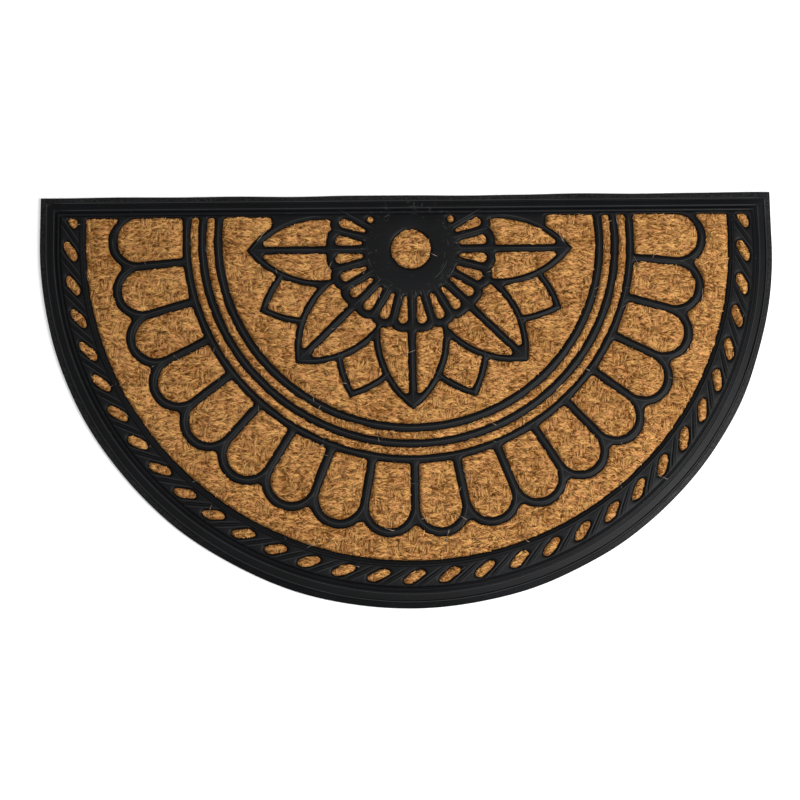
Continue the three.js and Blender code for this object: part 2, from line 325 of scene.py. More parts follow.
def soft_noise(x, y, layer):
    """Smooth noise over the pattern, as high and as low as the layer's height."""
    height, size, seed = layer
    table = np.random.default_rng(seed).uniform(-1, 1, (NOISE_CELLS, NOISE_CELLS))
    across, along = x / size + NOISE_SHIFT, y / size + NOISE_SHIFT
    column, row = np.floor(across).astype(int), np.floor(along).astype(int)
    u, v = across - column, along - row
    u, v = u * u * (3 - 2 * u), v * v * (3 - 2 * v)
    corners = [place % NOISE_CELLS for place in (row, column, row + 1, column + 1)]
    return height * between(table, *corners, u, v)


def arc_points(x, y, radius, start, end, steps):
    """Points on a circle about (x, y), both end angles included."""
    angles = np.linspace(start, end, steps + 1)
    return np.stack([x + radius * np.cos(angles), y + radius * np.sin(angles)], 1)


def turned(points, angle, x=0.0, y=0.0):
    """Points turned about the origin, then moved."""
    cos, sin = math.cos(angle), math.sin(angle)
    return points @ np.array([[cos, sin], [-sin, cos]]) + (x, y)


def half_round(inset):
    """Half-round outline at a distance in from the mat's edge, with mitred corners."""
    radius, top = ROUND_RADIUS - inset, SIDE_LENGTH - inset
    arc = arc_points(0, 0, radius, math.pi, 2 * math.pi, ARC_STEPS)
    side = np.linspace(0, top, SIDE_STEPS + 1)[1:]
    edge = np.linspace(radius, -radius, EDGE_STEPS + 1)[1:-1]
    right = np.stack([np.full(side.size, radius), side], 1)
    left = np.stack([np.full(side.size, -radius), side[::-1]], 1)
    across = np.stack([edge, np.full(edge.size, top)], 1)
    return np.concatenate([arc, right, across, left])


def rim_inset(x, y):
    """Distance in from the mat's edge."""
    below = ROUND_RADIUS - np.hypot(x, y)
    above = np.minimum(ROUND_RADIUS - np.abs(x), SIDE_LENGTH - y)
    return np.where(y < 0, below, above)


def rope_place(distance):
    """Turn and place on the rope border, at a distance along it from the middle of the round edge."""
    quarter = ROPE_RADIUS * math.pi / 2
    along = min(max(distance, -quarter), quarter)
    turn = math.pi / 2 + along / ROPE_RADIUS
    straight = abs(distance) - abs(along)
    x = ROPE_RADIUS * math.cos(turn)
    y = -ROPE_RADIUS * math.sin(turn) + straight
    return 3 * math.pi / 2 - turn, x, y


def on_rope(points, distance):
    return turned(points, *rope_place(distance))


def outline_distance(outline, x, y):
    """Distance from points to a closed outline, negative inside it."""
    start, end = outline, np.roll(outline, -1, axis=0)
    run, rise = (end - start).T
    across, up = x[..., None] - start[:, 0], y[..., None] - start[:, 1]
    share = np.clip((across * run + up * rise) / (run**2 + rise**2), 0, 1)
    gap = np.hypot(across - share * run, up - share * rise).min(-1)
    passed = (up >= 0) != (y[..., None] - end[:, 1] >= 0)
    beyond = across * rise < up * run
    crossings = (passed & (beyond == (rise > 0))).sum(-1)
    return np.where(crossings % 2 == 1, -gap, gap)


def stamp(field, outline, top=math.inf):
    """Adds one opening, which ends at the top at most, to the field of distances."""
    low, high = outline.min(0) - STAMP_MARGIN, outline.max(0) + STAMP_MARGIN
    columns = slice(*np.searchsorted(GRID_X, [low[0], high[0]]))
    rows = slice(*np.searchsorted(GRID_Y, [low[1], high[1]]))
    x, y = np.meshgrid(GRID_X[columns], GRID_Y[rows])
    distance = np.maximum(outline_distance(outline, x, y), y - top)
    field[rows, columns] = np.minimum(field[rows, columns], distance)


def dash_outline(wobble):
    """Slanting bar of one rope opening, round at its corners and a little uneven."""
    angles = np.arange(DASH_STEPS) * 2 * math.pi / DASH_STEPS
    limits = ((np.sin(angles - DASH_SLOPE), DASH_HALF_THICKNESS), (np.sin(angles), DASH_HALF_DEPTH),
              (np.cos(angles - DASH_SLOPE), DASH_HALF_LENGTH))
    reach = sum(np.abs(part / limit) ** DASH_SQUARENESS for part, limit in limits) ** (-1 / DASH_SQUARENESS)
    swell = 1 + sum(wobble[2 * k] * np.sin((k + 2) * angles + wobble[2 * k + 1] * 60) for k in range(3))
    return np.stack([np.cos(angles), np.sin(angles)], 1) * (reach * swell)[:, None]


def panel_outline(index):
    """Arcade panel: parallel to the ribs at its sides, round at its outer end."""
    half_pitch = PANEL_PITCH / 2
    inner_half = PANEL_INNER_RADIUS * math.tan(half_pitch) - PANEL_HALF_RIB / math.cos(half_pitch)
    round_end = math.pi / 2 + half_pitch
    points = arc_points(PANEL_END_CENTRE, 0, PANEL_END_RADIUS, -round_end, round_end, 28)
    points = np.concatenate([points, [[PANEL_INNER_RADIUS, inner_half], [PANEL_INNER_RADIUS, -inner_half]]])
    border_side = {0: -1, PANEL_COUNT - 1: 1}.get(index, 0)
    if border_side:
        facing = points[:, 1] * border_side > 0
        reach = np.where(points[:, 0] == PANEL_INNER_RADIUS, inner_half, PANEL_END_RADIUS)
        points[facing, 1] *= (WINDOW_TOP / reach)[facing]
    return turned(points, math.pi + index * PANEL_PITCH)


def petal_offset(shape):
    """How far the centres of a petal's two side arcs lie from its middle line."""
    return math.sqrt(shape["bulge"] ** 2 - (shape["tip"] - shape["middle"]) ** 2)


def petal_distance(x, y, angle, shape, rib, foot=None):
    """Distance to a petal, its two sides arcs of one radius, drawn in by the width of its rib."""
    up = y + ROSETTE_DROP
    right = x - PETAL_SHIFT
    along = right * math.cos(angle) + up * math.sin(angle)
    across = np.abs(up * math.cos(angle) - right * math.sin(angle))
    side = np.hypot(along - shape["middle"], across + petal_offset(shape)) - (shape["bulge"] - rib)
    return np.maximum(side, (foot or shape["foot"]) - along), along, across


def ray_outline():
    quarter = math.pi / 2
    outer = arc_points(RAY_OUTER - RAY_OUTER_HALF, 0, RAY_OUTER_HALF, -quarter, quarter, 12)
    inner = arc_points(RAY_INNER + RAY_INNER_HALF, 0, RAY_INNER_HALF, quarter, 3 * quarter, 8)
    return np.concatenate([outer, inner])


def opening_field():
    """Distance to the nearest opening's edge over the grid, negative inside the openings."""
    x, y = np.meshgrid(GRID_X, GRID_Y)
    reach = np.hypot(x, y)
    out = np.where(y < 0, reach, np.abs(x))
    above = y - WINDOW_TOP
    field = np.full(x.shape, FAR)

    def cut(*limits):
        """Adds the opening inside all the limits."""
        np.minimum(field, np.maximum.reduce(limits), out=field)

    arcade = out - np.where(y > 0, PANEL_END_CENTRE, CUSP_RADIUS)
    for index in range(PANEL_COUNT):
        angle = math.pi + index * PANEL_PITCH
        end = np.hypot(x - PANEL_END_CENTRE * math.cos(angle), y - PANEL_END_CENTRE * math.sin(angle))
        arcade = np.minimum(arcade, end - (PANEL_END_RADIUS + PANEL_RIB))
    cut(out - OUTER_FIELD_RADIUS, above, -arcade)
    for outside, inside in THIN_ARCS:
        cut(reach - outside, inside - reach, above)

    petals = np.full(x.shape, FAR)
    for index in range(LARGE_PETAL_COUNT):
        petals = np.minimum(petals, petal_distance(x, y, math.pi + index * PETAL_PITCH, LARGE_PETAL, 0)[0])
    large = petals
    for index in range(LARGE_PETAL_COUNT - 1):
        angle = math.pi + (index + 0.5) * PETAL_PITCH
        petals = np.minimum(petals, petal_distance(x, y, angle, SMALL_PETAL, 0)[0])
        cut(petal_distance(x, y, angle, SMALL_PETAL, PETAL_RIB)[0], -large)
    ends = np.maximum(np.abs(x) - FIELD_END_X, -ROSETTE_DROP - y)
    cut(reach - INNER_FIELD_RADIUS, HUB_RADIUS - reach, above, -petals, -ends)

    angles = np.arctan2(y + ROSETTE_DROP, x - ROSETTE_SHIFT)
    part = 2 * (angles / RAY_PITCH % 1) - 1
    hub = np.hypot(x - ROSETTE_SHIFT, y + ROSETTE_DROP)
    ruffle = hub - RUFFLE_RADIUS - RUFFLE_RISE * np.sqrt(1 - part**2)
    for index in range(LARGE_PETAL_COUNT):
        angle = math.pi + index * PETAL_PITCH
        bay, along, across = petal_distance(x, y, angle, LARGE_PETAL, PETAL_RIB, PETAL_BAY_FOOT)
        cut(bay, along - PETAL_BAY_TIP, PETAL_MIDRIB_HALF - across, -ruffle)

    for layer in FIELD_NOISE:
        field += soft_noise(x, y, layer)
    for index in range(PANEL_COUNT):
        stamp(field, panel_outline(index))
    for index in range(RAY_COUNT):
        stamp(field, turned(ray_outline(), math.pi + (index - 1.5) * RAY_PITCH, *HUB_PLACE))
    stamp(field, arc_points(*HUB_PLACE, DISC_RADIUS, 0, 2 * math.pi, 72)[1:])
    for angle in (math.pi - DOT_RISE, DOT_RISE):
        dot = turned(np.array([DOT_REACH, 0]), angle, *HUB_PLACE)
        stamp(field, arc_points(*dot, DOT_RADIUS, 0, 2 * math.pi, 24)[1:])
    shape = (2 * ROPE_COUNT_EACH_WAY + 1, 6)
    wobbles = np.random.default_rng(DASH_SEED).uniform(-DASH_WOBBLE, DASH_WOBBLE, shape)
    for index, wobble in enumerate(wobbles, -ROPE_COUNT_EACH_WAY):
        stamp(field, on_rope(dash_outline(wobble), ROPE_SHIFT + index * ROPE_PITCH), WINDOW_TOP)
    return field


def sampled(grid, points):
    """Values of a grid at points, interpolated."""
    across = np.clip((points[:, 0] - GRID_X[0]) / GRID_STEP, 0, GRID_X.size - 1.001)
    up = np.clip((points[:, 1] - GRID_Y[0]) / GRID_STEP, 0, GRID_Y.size - 1.001)
    column, row = across.astype(int), up.astype(int)
    return between(grid, row, column, row + 1, column + 1, across - column, up - row)


def contours(grid, level):
    """Closed loops where the grid passes a level, with the lower side on their left."""
    inside = grid < level
    crossings, ids, points, count = [], [], [], 0
    for down, right in ((0, 1), (1, 0)):
        crossing = inside[:len(grid) - down, :len(grid[0]) - right] != inside[down:, right:]
        crossings.append(crossing)
        ids.append(np.cumsum(crossing).reshape(crossing.shape) - 1 + count)
        count += crossing.sum()
        row, column = np.nonzero(crossing)
        near, far = grid[row, column], grid[row + down, column + right]
        share = (level - near) / (far - near) * GRID_STEP
        points.append(np.stack([GRID_X[column] + share * right, GRID_Y[row] + share * down], 1))
    points = np.concatenate(points)
    flat, tall = crossings
    flat_ids, tall_ids = ids
    follow = {}
    row, column = np.nonzero(flat[:-1] | flat[1:] | tall[:, :-1] | tall[:, 1:])
    for r, c in zip(row.tolist(), column.tolist()):
        corners = (inside[r, c], inside[r, c + 1], inside[r + 1, c + 1], inside[r + 1, c])
        sides = (flat_ids[r, c], tall_ids[r, c + 1], flat_ids[r + 1, c], tall_ids[r, c])
        leaving = [k for k in range(4) if corners[k] and not corners[(k + 1) % 4]]
        entering = [k for k in range(4) if not corners[k] and corners[(k + 1) % 4]]
        if len(leaving) == 2:
            middle = grid[r:r + 2, c:c + 2].mean() < level
            if middle == (entering[0] == (leaving[0] + 1) % 4):
                entering.reverse()
        for a, b in zip(leaving, entering):
            follow[int(sides[a])] = int(sides[b])
    loops = []
    while follow:
        first, place = follow.popitem()
        chain = [first]
        while place != first:
            chain.append(place)
            place = follow.pop(place)
        loops.append(points[chain])
    return loops


def unrolled(loop):
    """A closed loop with its first point again at its end, and the distance along it at each point."""
    closed = np.concatenate([loop, loop[:1]])
    return closed, np.concatenate([[0], np.cumsum(np.hypot(*np.diff(closed, axis=0).T))])


def points_at(stations, lengths, closed):
    """Points at some distances along a loop."""
    return np.stack([np.interp(stations, lengths, closed[:, k]) for k in (0, 1)], 1)


def respaced(loop, finest=0.55, widest=3.0, sagitta=0.02):
    """A closed loop with points close together where it bends and further apart where it is straight."""
    closed, lengths = unrolled(loop)
    count = max(12, int(lengths[-1] / LOOP_STEP))
    even = points_at(np.linspace(0, lengths[-1], count, endpoint=False), lengths, closed)
    for _ in range(2):
        even = (np.roll(even, 1, 0) + 2 * even + np.roll(even, -1, 0)) / 4
    step = lengths[-1] / count
    before, after = even - np.roll(even, 2, 0), np.roll(even, -2, 0) - even
    turn = before[:, 0] * after[:, 1] - before[:, 1] * after[:, 0]
    bend = np.abs(np.arctan2(turn, (before * after).sum(1)))
    bend = np.maximum.reduce([np.roll(bend, k) for k in (-2, -1, 0, 1, 2)]) / (2 * step)
    spacing = np.clip(np.sqrt(8 * sagitta / np.maximum(bend, 1e-6)), finest, widest)
    effort = np.concatenate([[0], np.cumsum(step / spacing)])
    wanted = np.linspace(0, effort[-1], max(8, int(round(effort[-1]))), endpoint=False)
    return points_at(wanted, effort, np.concatenate([even, even[:1]]))


def rounded_field(field):
    """Distance out from openings drawn in by the corner radius, so that corners come out round."""
    x, y = np.meshgrid(GRID_X, GRID_Y)
    seeds = []
    for loop in contours(field, -CORNER_RADIUS):
        closed, lengths = unrolled(loop)
        seeds.append(points_at(np.arange(0, lengths[-1], LOOP_STEP), lengths, closed))
    seeds = np.concatenate(seeds)
    tree = kdtree.KDTree(len(seeds))
    for index, (across, up) in enumerate(seeds.tolist()):
        tree.insert((across, up, 0), index)
    tree.balance()
    outside = (field > -CORNER_RADIUS) & (rim_inset(x, y) > WINDOW_INSET - 3)
    distance = np.where(outside, 0, np.where(field < 0, field + CORNER_RADIUS, FAR))
    wanted = zip(x[outside].tolist(), y[outside].tolist())
    distance[outside] = [tree.find((across, up, 0))[2] for across, up in wanted]
    return distance - CORNER_RADIUS


class Shell:
    """Collects the corners and faces of one closed mesh, in millimetres in the pattern's frame."""

    def __init__(self):
        self.points = []
        self.count = 0
        self.quads = []
        self.triangles = []

    def add(self, outline, height):
        """Adds points at a height, which is one number or one for each point."""
        block = np.empty((len(outline), 3))
        block[:, :2] = outline
        block[:, 2] = height
        self.points.append(block)
        self.count += len(block)
        return np.arange(self.count - len(block), self.count)

    def band(self, low, high):
        """Closed band of faces between two rings that turn anticlockwise. It faces away from their middle."""
        low_next, high_next = np.roll(low, -1), np.roll(high, -1)
        self.quads.append(np.stack([low, low_next, high_next, high], 1))

    def fill(self, rings, height, up=True, spare=(), chains=()):
        """Fills the first ring of corners apart from the others, or each ring where height is None.

        Spare corners and chains of corners lie inside. Height gives the height of any new corner.
        """
        known = np.concatenate([*rings, *spare, *[chain[0] for chain in chains]])
        flat = np.concatenate(self.points)[known, :2]
        faces, start = [], 0
        for ring in rings:
            faces.append(list(range(start, start + len(ring))))
            start += len(ring)
        start += sum(len(block) for block in spare)
        edges = []
        for ids, joined in chains:
            own = np.arange(start, start + len(ids))
            edges += np.stack([own, np.roll(own, -1)], 1)[joined].tolist()
            start += len(ids)
        flat = [Vector(spot) for spot in flat.tolist()]
        corners, _, triangles, first, _, inside = geometry.delaunay_2d_cdt(flat, edges, faces, 1, 1e-5, True)
        placed = []
        for corner, sources in zip(corners, first):
            if sources:
                placed.append(known[sources[0]])
            else:
                spot = np.array([corner[:]])
                placed.append(self.add(spot, height(spot))[0])
        wanted = [[0]] if height else [[index] for index in range(len(rings))]
        kept = [face for face, within in zip(triangles, inside) if list(within) in wanted]
        kept = np.array(placed)[np.array(kept)]
        self.triangles.append(kept if up else kept[:, ::-1])

    def mesh(self, name):
        """The finished mesh, in metres in the part's frame."""
        faces = [face for block in self.quads + self.triangles for face in block.tolist()]
        mesh = bpy.data.meshes.new(name)
        mesh.from_pydata(in_metres(np.concatenate(self.points)), [], faces)
        mesh.validate()
        return mesh


def in_metres(points):
    """Points in metres in the part's frame, from millimetres in the pattern's frame."""
    return ((points + (0, PATTERN_SHIFT, 0)) / METRE).tolist()


def shown(name, mesh, look=None):
    """A new object at the origin."""
    made = bpy.data.objects.new(name, mesh)
    bpy.context.scene.collection.objects.link(made)
    if look is not None:
        mesh.materials.append(look)
    return made


def operator(operation, swapped=False):
    """A method of Wire that adds a math node, with its two inputs swapped for a reflected operator."""
    def method(self, other):
        pair = (other, self) if swapped else (self, other)
        return self.graph.wire("ShaderNodeMath", {"operation": operation}, dict(enumerate(pair)))

    return method


class Wire:
    """A node's output that Python's operators work on."""

    def __init__(self, graph, socket):
        self.graph = graph
        self.socket = socket

    __add__ = operator("ADD")
    __radd__ = operator("ADD", swapped=True)
    __sub__ = operator("SUBTRACT")
    __rsub__ = operator("SUBTRACT", swapped=True)
    __mul__ = operator("MULTIPLY")
    __rmul__ = operator("MULTIPLY", swapped=True)
    __pow__ = operator("POWER")
    most = operator("MAXIMUM")
    turn_over = operator("ARCTAN2")

    def ramp(self, low, high):
        """0 below low, 1 above high, smooth between."""
        sockets = {"Value": self, "From Min": low, "From Max": high}
        return self.graph.wire("ShaderNodeMapRange", {"interpolation_type": "SMOOTHSTEP"}, sockets)


class Graph:
    """Adds nodes to one material, world or geometry tree."""

    def __init__(self, tree):
        self.tree = tree

    def connect(self, node, sockets):
        """Sets a node's sockets to values, or links them to wires."""
        for key, value in sockets.items():
            if isinstance(value, Wire):
                self.tree.links.new(value.socket, node.inputs[key])
            else:
                node.inputs[key].default_value = value

    def node(self, kind, settings=None, sockets=None):
        """Adds a node of a type: its settings first, then the values or links of its sockets."""
        made = self.tree.nodes.new(kind)
        for name, value in (settings or {}).items():
            setattr(made, name, value)
        self.connect(made, sockets or {})
        return made

    def wire(self, kind, settings=None, sockets=None, output=0):
        return Wire(self, self.node(kind, settings, sockets).outputs[output])

    def step(self, kind, **sockets):
        """Adds a geometry node. An underscore in a socket's name stands for a space."""
        named = {key.replace("_", " "): value for key, value in sockets.items()}
        return self.wire("GeometryNode" + kind, None, named)

    def vector(self, x, y, z):
        return self.wire("ShaderNodeCombineXYZ", None, {"X": x, "Y": y, "Z": z})

    def axes(self, vector):
        """The three parts of a vector."""
        return [Wire(self, part) for part in self.node("ShaderNodeSeparateXYZ", None, {0: vector}).outputs]

    def noise(self, place, scale, detail=2.0, roughness=0.5):
        sockets = {"Vector": place, "Scale": scale, "Detail": detail, "Roughness": roughness}
        return self.wire("ShaderNodeTexNoise", None, sockets, "Fac")

    def blend(self, factor, first, second):
        """Mix of two colours."""
        return self.wire("ShaderNodeMix", {"data_type": "RGBA"}, {0: factor, 6: first, 7: second}, 2)

    def stretched(self, place, scale):
        """Coordinates scaled differently on each axis."""
        return self.wire("ShaderNodeVectorMath", {"operation": "MULTIPLY"}, {0: place, 1: scale})

    def bump(self, height, distance, strength):
        sockets = {"Height": height, "Distance": distance, "Strength": strength}
        return self.wire("ShaderNodeBump", None, sockets)


def material(name):
    """A new material with its graph, its shader and its object coordinates."""
    made = bpy.data.materials.new(name)
    made.use_nodes = True
    made.node_tree.nodes.clear()
    graph = Graph(made.node_tree)
    shader = graph.node("ShaderNodeBsdfPrincipled")
    graph.node("ShaderNodeOutputMaterial", None, {"Surface": Wire(graph, shader.outputs[0])})
    place = graph.wire("ShaderNodeTexCoord", None, None, "Object")
    return made, graph, shader, place


def polar(graph, place, x, y):
    """How far a spot lies across, up and in all from a point of the pattern, in metres."""
    centre = (-x / METRE, (-y - PATTERN_SHIFT) / METRE, 0)
    about = graph.wire("ShaderNodeVectorMath", {"operation": "ADD"}, {0: place, 1: centre})
    across, up, _ = graph.axes(about)
    return across, up, (across**2 + up**2) ** 0.5


def rubber_material(name, colour, painted_highlight):
    """Matt black moulded rubber with fine scuffs round the rosette's hub, and a painted sheen that makes the
    rim's outer slope paler.
    """
    made, graph, shader, place = material(name)
    cloud = graph.noise(place, scale=14, detail=3)
    grain = graph.noise(place, scale=900, detail=3, roughness=0.6)
    speck = graph.noise(place, scale=420).ramp(0.68, 0.78)
    _, height, out = polar(graph, place, 0, 0)
    # Painted sheen: the rim's outer slope is drawn paler and grainy all round, except at the bottom of the
    # round edge.
    slope_sheen = out.ramp(*SLOPE_RADII).most(height.ramp(*SLOPE_HEIGHTS)) * height.ramp(*SHEEN_FLOOR)
    slope_sheen = slope_sheen * graph.noise(place, scale=600, detail=3, roughness=0.6).ramp(0.35, 0.7)
    across, up, reach = polar(graph, place, *HUB_PLACE)
    angle = up.turn_over(across)
    spokes, circles = [
        graph.noise(graph.vector(angle * turning, reach * outward, start), scale=1, detail=1)
        for turning, outward, start in SCUFF_SCALES]
    scuff = spokes.ramp(0.66, 0.74) * reach.ramp(*SPOKE_START)
    scuff = scuff.most(circles.ramp(0.68, 0.76) * reach.ramp(*CIRCLE_START))
    scuff = scuff * (1 - reach.ramp(*SCUFF_END))
    streak = graph.noise(graph.stretched(place, (12, 700, 1)), scale=1).ramp(0.5, 0.8)
    # Painted highlight: this lift draws the rubber of the fine ridges paler.
    clean = (*[c + painted_highlight for c in colour], 1)
    cloudy = (*[c * 1.6 + 0.0008 + 1.3 * painted_highlight for c in colour], 1)
    base = graph.blend(cloud.ramp(0.35, 0.75), clean, cloudy)
    marks_and_sheen = speck * SPECK_SHARE + scuff * SCUFF_SHARE + streak * STREAK_SHARE + slope_sheen * SHEEN_SHARE
    graph.connect(shader, {
        "Base Color": graph.blend(marks_and_sheen, base, MARK_AND_SHEEN_COLOUR),
        "Roughness": 0.4 + 0.14 * cloud,
        "Normal": graph.bump(grain, distance=0.00018, strength=0.7),
        "Specular IOR Level": 0.135,
    })
    return made


def coir_material(name, dark, light, spread):
    """Brown coir: strands differ in tone by their own shade, and what lies under them by noise alone. Fine
    dark specks are painted shade of the pits between the fibres.
    """
    made, graph, shader, place = material(name)
    patch = graph.noise(place, scale=38)
    tint = graph.noise(place, scale=190)
    fibre = graph.noise(place, scale=1000, detail=3, roughness=0.6)
    shade = graph.wire("ShaderNodeAttribute", {"attribute_name": "shade"}, None, "Fac")
    # Painted shade: fine dark specks stand in for the shade in the pits between the fibres.
    speck = graph.noise(graph.stretched(place, (0.6, 1, 1)), scale=360).ramp(0.53, 0.67)
    tone = shade * spread + fibre * FIBRE_TONE + patch * PATCH_TONE - TONE_DROP - PIT_SHADE_TONE * speck
    ruddy = (*[c * share for c, share in zip(light, RUDDY_SHARES)], 1)
    pale = graph.blend(tint.ramp(0.4, 0.65), (*light, 1), ruddy)
    graph.connect(shader, {
        "Base Color": graph.blend(tone.ramp(0.0, 1.0), (*dark, 1), pale),
        "Roughness": 0.86,
        "Normal": graph.bump(fibre, distance=0.0005, strength=0.6),
        "Specular IOR Level": 0.2,
    })
    return made


def rounded_profile(profile, size=0.45):
    """The rim's profile with its corners softened."""
    profile = np.array(profile, float)
    out = [profile[0]]
    for before, corner, after in zip(profile, profile[1:], profile[2:]):
        ends = []
        for other in (before, after):
            run = other - corner
            ends.append(corner + run * min(0.4, size / np.hypot(*run)))
        for share in (0.0, 0.33, 0.67, 1.0):
            out.append((1 - share) ** 2 * ends[0] + 2 * share * (1 - share) * corner + share**2 * ends[1])
    out.append(profile[-1])
    return np.array(out)


def crown(distance):
    """Height of the grille at a distance from the edge of an opening."""
    inward = np.maximum(distance, 0)
    rise = CROWN_RISE * (1 - np.exp(-inward / CROWN_ROUNDING))
    return CROWN_FOOT + rise + CROWN_SLOPE * np.minimum(inward, CROWN_REACH)


def rubber_mesh(distance):
    """The whole moulding as one closed mesh."""
    shell = Shell()
    edge = half_round(0)
    uneven = (edge - half_round(1)) * soft_noise(*edge.T, OUTLINE_NOISE)[:, None]
    rings = []
    for inset, height in rounded_profile(RIM_PROFILE):
        rings.append(shell.add(half_round(inset) + uneven * max(0, 1 - inset / UNEVEN_WIDTH), height))
    for low, high in zip(rings, rings[1:]):
        shell.band(low, high)
    edges = [respaced(loop) for loop in contours(distance, 0)]
    tops = [shell.add(loop, crown(0)) for loop in edges]
    bottoms = [shell.add(loop, GRILLE_UNDERSIDE) for loop in edges]
    chains = []
    for level in CROWN_RINGS:
        for loop in contours(distance, level):
            points = respaced(loop, finest=0.7, widest=3.0, sagitta=0.03)
            free = rim_inset(*points.T) > RIM_PROFILE[-1][0] + CROWN_CLEARANCE
            if free.sum() >= SHORTEST_CHAIN:
                ids = shell.add(points[free], crown(level))
                chains.append((ids, (free & np.roll(free, -1))[free]))
    shell.fill([rings[-1], *tops], lambda spots: crown(sampled(distance, spots)), True, (), chains)
    for top, bottom in zip(tops, bottoms):
        shell.band(top, bottom)
    ceiling = shell.add(half_round(PANEL_INSET), GRILLE_UNDERSIDE)
    floor = shell.add(half_round(PANEL_INSET), BACK_THICKNESS)
    shell.fill([ceiling, *bottoms], lambda spots: GRILLE_UNDERSIDE, False)
    shell.band(ceiling, floor)
    shell.fill([floor], None)
    shell.fill([rings[0]], None, False)
    return shell.mesh("rubber_top")


def bundles():
    """The bundles of strands in the weave: middle, turn, length, width, twist and tone of each."""
    rows = []
    rng = np.random.default_rng(WEAVE_SEED)
    for column, row in itertools.product(CELL_COLUMNS, CELL_ROWS):
        upright = (column + row) % 2 == 0 and rng.random() > UPRIGHT_SKIPPED
        kind = UPRIGHT_BUNDLE if upright else LEVEL_BUNDLE
        long_side, short_side = (CELL_HEIGHT, CELL_WIDTH) if upright else (CELL_WIDTH, CELL_HEIGHT)
        width = short_side / kind["count"]
        middle = np.array([(column + 0.5) * CELL_WIDTH, (row + 0.5) * CELL_HEIGHT])
        for index in range(kind["count"]):
            offset = (index - (kind["count"] - 1) / 2) * width + rng.normal(0, 0.3)
            shift = rng.normal(0, 0.8)
            spot = middle + ((offset, shift) if upright else (shift, offset))
            turn = kind["turn"] + rng.normal(0, 0.1)
            length = (long_side + kind["longer"]) * rng.uniform(0.85, 1.1)
            twist = kind["twist"] * (1 if (row + index) % 2 else -1)
            rows.append((*spot, turn, length, width, twist, rng.uniform(-1, 1)))
    rows = np.array(rows)
    x, y = rows[:, 0].copy(), rows[:, 1].copy()
    for part, layer in enumerate(WEAVE_NOISE):
        rows[:, part] += soft_noise(x, y, layer)
    return rows


def strand_points(distance, each, filling, seed):
    """Middle, turn, tilt, length and shade of every strand, cut off at the openings' edges.

    Each bundle has its own strands, round it. Filling strands lie lower, under and between the bundles.
    """
    rng = np.random.default_rng(seed)
    all_bundles = bundles()
    own = np.repeat(all_bundles, each, axis=0)
    under = all_bundles[rng.integers(0, len(all_bundles), filling)]
    x, y, turn, length, width, twist, tone = np.concatenate([own, under]).T
    count, deep = len(x), np.arange(len(x)) >= len(own)
    spread = np.where(deep, DEEP_SPREAD, 1)
    side = rng.uniform(-1, 1, count) * spread
    along = rng.uniform(-0.3, 0.3, count) * length * spread
    heading = turn + twist * rng.uniform(*TWIST_SHARES, count)
    heading += rng.normal(0, TURN_SPREAD, count) * np.where(deep, 2, 1)
    x = x + along * np.cos(turn) - side * width * BUNDLE_FULLNESS * np.sin(turn)
    y = y + along * np.sin(turn) + side * width * BUNDLE_FULLNESS * np.cos(turn)
    length = length * rng.uniform(*STRAND_LENGTHS, count)
    rounding = BUNDLE_RISE * np.sqrt(1 - 0.9 * np.minimum(side**2, 1))
    height = np.where(deep, DEEP_HEIGHT, BUNDLE_HEIGHT + rounding)
    height += rng.uniform(0, 0.2, count) + soft_noise(x, y, STRAND_NOISE)
    shares = np.linspace(-0.5, 0.5, STRAND_STATIONS)
    spots = np.stack([x[:, None] + (length * np.cos(heading))[:, None] * shares,
                      y[:, None] + (length * np.sin(heading))[:, None] * shares], 2)
    limit = rng.uniform(*RAGGED_EDGE, count)[:, None]
    inside = sampled(distance, spots.reshape(-1, 2)).reshape(count, -1) < limit
    middle = len(shares) // 2
    first = middle - np.cumprod(inside[:, middle::-1], 1).sum(1) + 1
    last = middle + np.cumprod(inside[:, middle:], 1).sum(1) - 1
    low, high = shares[np.clip(first, 0, None)], shares[np.clip(last, None, len(shares) - 1)]
    cut = (high - low) * length
    kept = inside[:, middle] & (cut > SHORTEST_STRAND)
    x = x + (low + high) / 2 * length * np.cos(heading)
    y = y + (low + high) / 2 * length * np.sin(heading)
    near_edge = np.exp(-np.maximum(-sampled(distance, np.stack([x, y], 1)), 0) / EDGE_FADE)
    height -= EDGE_DROP * near_edge
    shade = MEAN_SHADE + BUNDLE_SHADE * tone + rng.uniform(-OWN_SHADE, OWN_SHADE, count)
    # Painted shade at the sides of each bundle and near the openings' edges, and more dark strands among the
    # deep filling ones.
    shade -= SIDE_SHADE * np.minimum(side**4, 1)
    shade -= EDGE_SHADE * near_edge + DARK_SHADE * (rng.random(count) < np.where(deep, *DARK_CHANCES))
    tilt = rng.normal(0, TILT_SPREAD, count)
    return np.stack([x, y, height, heading, tilt, cut, shade], 1)[kept]


def stray_points(distance, count, seed):
    """A few long thin fibres that lie across the ribs beside the openings."""
    rng = np.random.default_rng(seed)
    spots = rng.uniform(*STREWN_AREA, (count * 9, 2))
    inward = -sampled(distance, spots)
    x, y = spots[(inward > STRAY_BAND[0]) & (inward < STRAY_BAND[1])][:count].T
    turn = rng.uniform(0, 2 * math.pi, len(x))
    length = rng.uniform(*STRAY_LENGTHS, len(x))
    shade = rng.uniform(*STRAY_SHADES, len(x))
    return np.stack([x, y, np.full(len(x), STRAY_HEIGHT), turn, np.zeros(len(x)), length, shade], 1)


